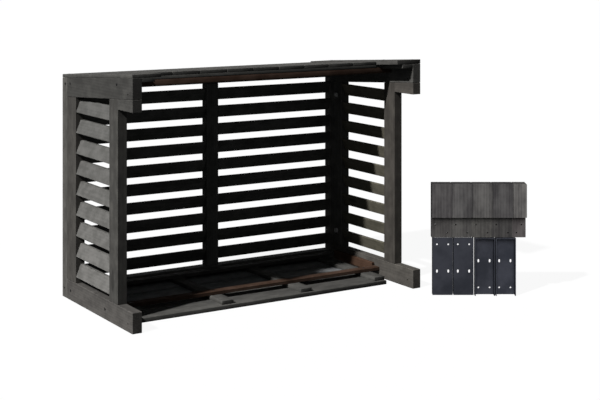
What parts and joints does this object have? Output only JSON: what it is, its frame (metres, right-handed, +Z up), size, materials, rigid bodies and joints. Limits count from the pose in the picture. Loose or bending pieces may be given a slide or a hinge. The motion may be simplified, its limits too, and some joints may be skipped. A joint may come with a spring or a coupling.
{
  "type": "air conditioner screen",
  "caption": "Louvred timber screen, open at the back, that stands round an outdoor air conditioner unit against a wall, with a sloped board roof and a set of loose legs and brackets.",
  "frame": {"origin": "on the ground, in the middle of the screen's width, halfway between its front face and the back faces of its rear stiles", "axes": "+Z up, +X to the right seen from the open back, +Y to the louvred front, away from the wall"},
  "size_m": [1.2309, 0.7736, 0.7205],
  "materials": {
    "stained_wood": "weathered dark grey stain, matt",
    "pale_louvre": "grey stain, matt",
    "red_batten": "red-brown stain, matt",
    "dark_steel": "dark blue-grey coating, satin"
  },
  "bodies": {
    "root": {"centre_leg": "stained_wood", "corner_leg_1": "stained_wood", "corner_leg_2": "stained_wood", "corner_leg_3": "stained_wood", "corner_leg_4": "stained_wood", "floor_deck": "stained_wood", "floor_front_batten": "red_batten", "floor_left_batten": "red_batten", "floor_rear_batten": "red_batten", "floor_right_batten": "red_batten", "front_bottom_rail": "stained_wood", "front_centre_post": "stained_wood", "front_left_stile": "stained_wood", "front_right_stile": "stained_wood", "front_slat_01": "stained_wood", "front_slat_02": "stained_wood", "front_slat_03": "stained_wood", "front_slat_04": "stained_wood", "front_slat_05": "stained_wood", "front_slat_06": "stained_wood", "front_slat_07": "stained_wood", "front_slat_08": "stained_wood", "front_slat_09": "stained_wood", "front_slat_10": "stained_wood", "front_top_rail": "stained_wood", "left_bottom_rail": "stained_wood", "left_front_stile": "stained_wood", "left_louvre_1": "pale_louvre", "left_louvre_2": "pale_louvre", "left_louvre_3": "pale_louvre", "left_louvre_4": "pale_louvre", "left_louvre_5": "pale_louvre", "left_louvre_6": "pale_louvre", "left_louvre_7": "pale_louvre", "left_louvre_8": "pale_louvre", "left_louvre_9": "pale_louvre", "left_rear_stile": "stained_wood", "left_top_rail": "stained_wood", "left_wall_block": "stained_wood", "right_bottom_rail": "stained_wood", "right_front_stile": "stained_wood", "right_louvre_1": "pale_louvre", "right_louvre_2": "pale_louvre", "right_louvre_3": "pale_louvre", "right_louvre_4": "pale_louvre", "right_louvre_5": "pale_louvre", "right_louvre_6": "pale_louvre", "right_louvre_7": "pale_louvre", "right_louvre_8": "pale_louvre", "right_louvre_9": "pale_louvre", "right_rear_stile": "stained_wood", "right_top_rail": "stained_wood", "right_wall_block": "stained_wood", "roof_deck": "stained_wood", "roof_left_edge_board": "stained_wood", "roof_right_edge_board": "stained_wood", "steel_bracket_1": "dark_steel", "steel_bracket_2": "dark_steel", "steel_bracket_3": "dark_steel", "steel_bracket_4": "dark_steel"}
  },
  "joints": []
}
